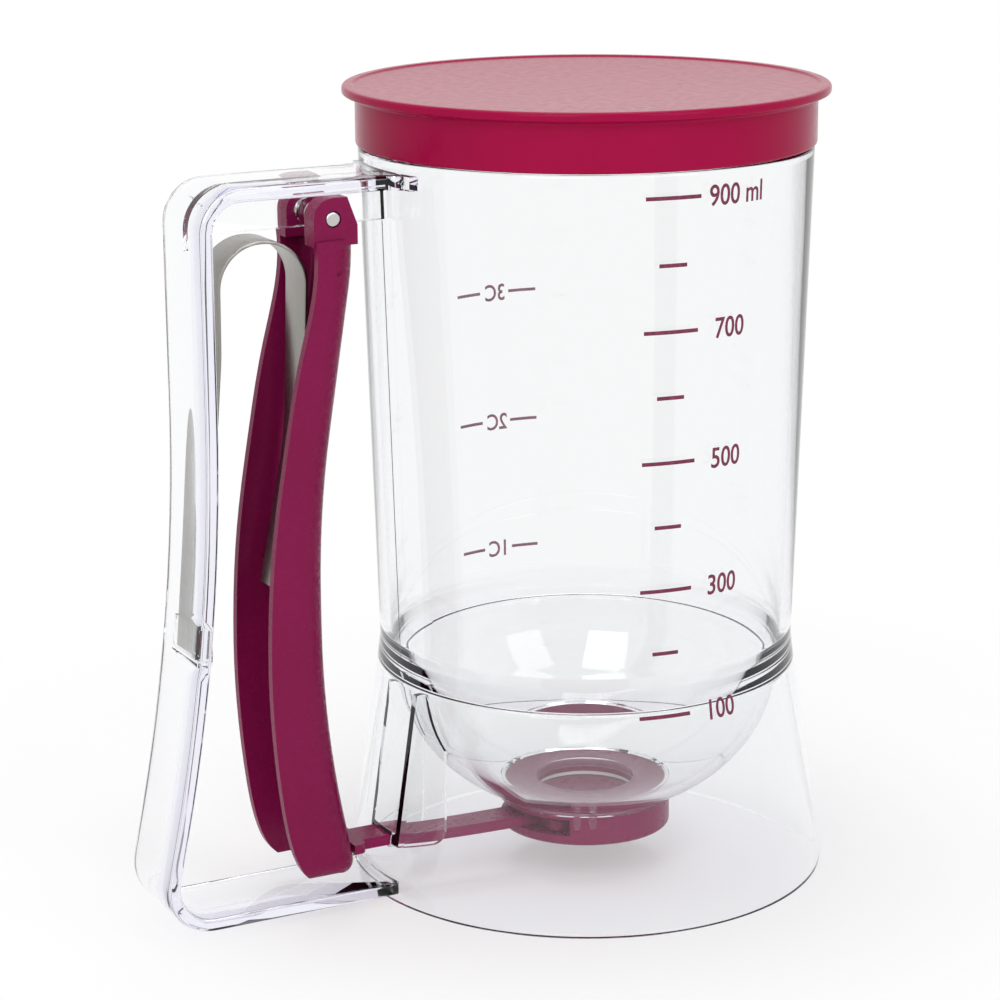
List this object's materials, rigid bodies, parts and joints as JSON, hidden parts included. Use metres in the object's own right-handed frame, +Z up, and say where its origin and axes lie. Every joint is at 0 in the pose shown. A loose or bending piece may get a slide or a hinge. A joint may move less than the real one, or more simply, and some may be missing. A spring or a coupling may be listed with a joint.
{
  "type": "hand-held batter dispenser",
  "caption": "Clear tank on a flared skirt with a press-on lid, a loop handle and a squeeze trigger that pulls a slide valve open under the bowl.",
  "frame": {"origin": "tank axis at the plane of the skirt's base rim", "axes": "+Z up along the tank axis, -X towards the handle, Y across the handle"},
  "size_m": [0.1656, 0.1116, 0.1824],
  "materials": {
    "clear_plastic": "clear polished moulding",
    "lid_plastic": "smooth",
    "trigger_plastic": "smooth",
    "valve_plastic": "smooth",
    "seal_rubber": "matt",
    "spring_steel": "satin strip",
    "pin_steel": "polished"
  },
  "bodies": {
    "dispenser": {"tank_wall": "clear_plastic", "bowl": "clear_plastic", "base_skirt": "clear_plastic", "guide_rib_near": "clear_plastic", "guide_rib_far": "clear_plastic", "handle_top_arm": "clear_plastic", "handle_web": "clear_plastic", "handle_grip_bar": "clear_plastic", "handle_bottom_arm": "clear_plastic", "valve_cup": "valve_plastic", "valve_top_ring": "valve_plastic", "outlet_seal": "seal_rubber", "leaf_spring": "spring_steel"},
    "lid": {"lid": "lid_plastic"},
    "trigger": {"trigger": "trigger_plastic", "pivot_pin": "pin_steel"},
    "slider": {"slider": "valve_plastic"}
  },
  "joints": [
    {"name": "lid_lift", "type": "slide", "parent": "dispenser", "child": "lid", "axis": [0, 0, 1], "range_m": [0, 0.06]},
    {"name": "trigger_squeeze", "type": "hinge", "parent": "dispenser", "child": "trigger", "pos_m": [-0.0669, 0, 0.1582], "axis": [0, 1, 0], "range_deg": [0, 8], "stiffness_Nm_per_rad": 1.5, "springref_deg": -4.01, "deforming": ["leaf_spring"]},
    {"name": "valve_slide", "type": "slide", "parent": "dispenser", "child": "slider", "axis": [-1, 0, 0], "range_m": [0, 0.0206]}
  ],
  "couplings": [
    {"joint": "valve_slide", "follows": "trigger_squeeze", "m_per_rad": 0.145}
  ]
}
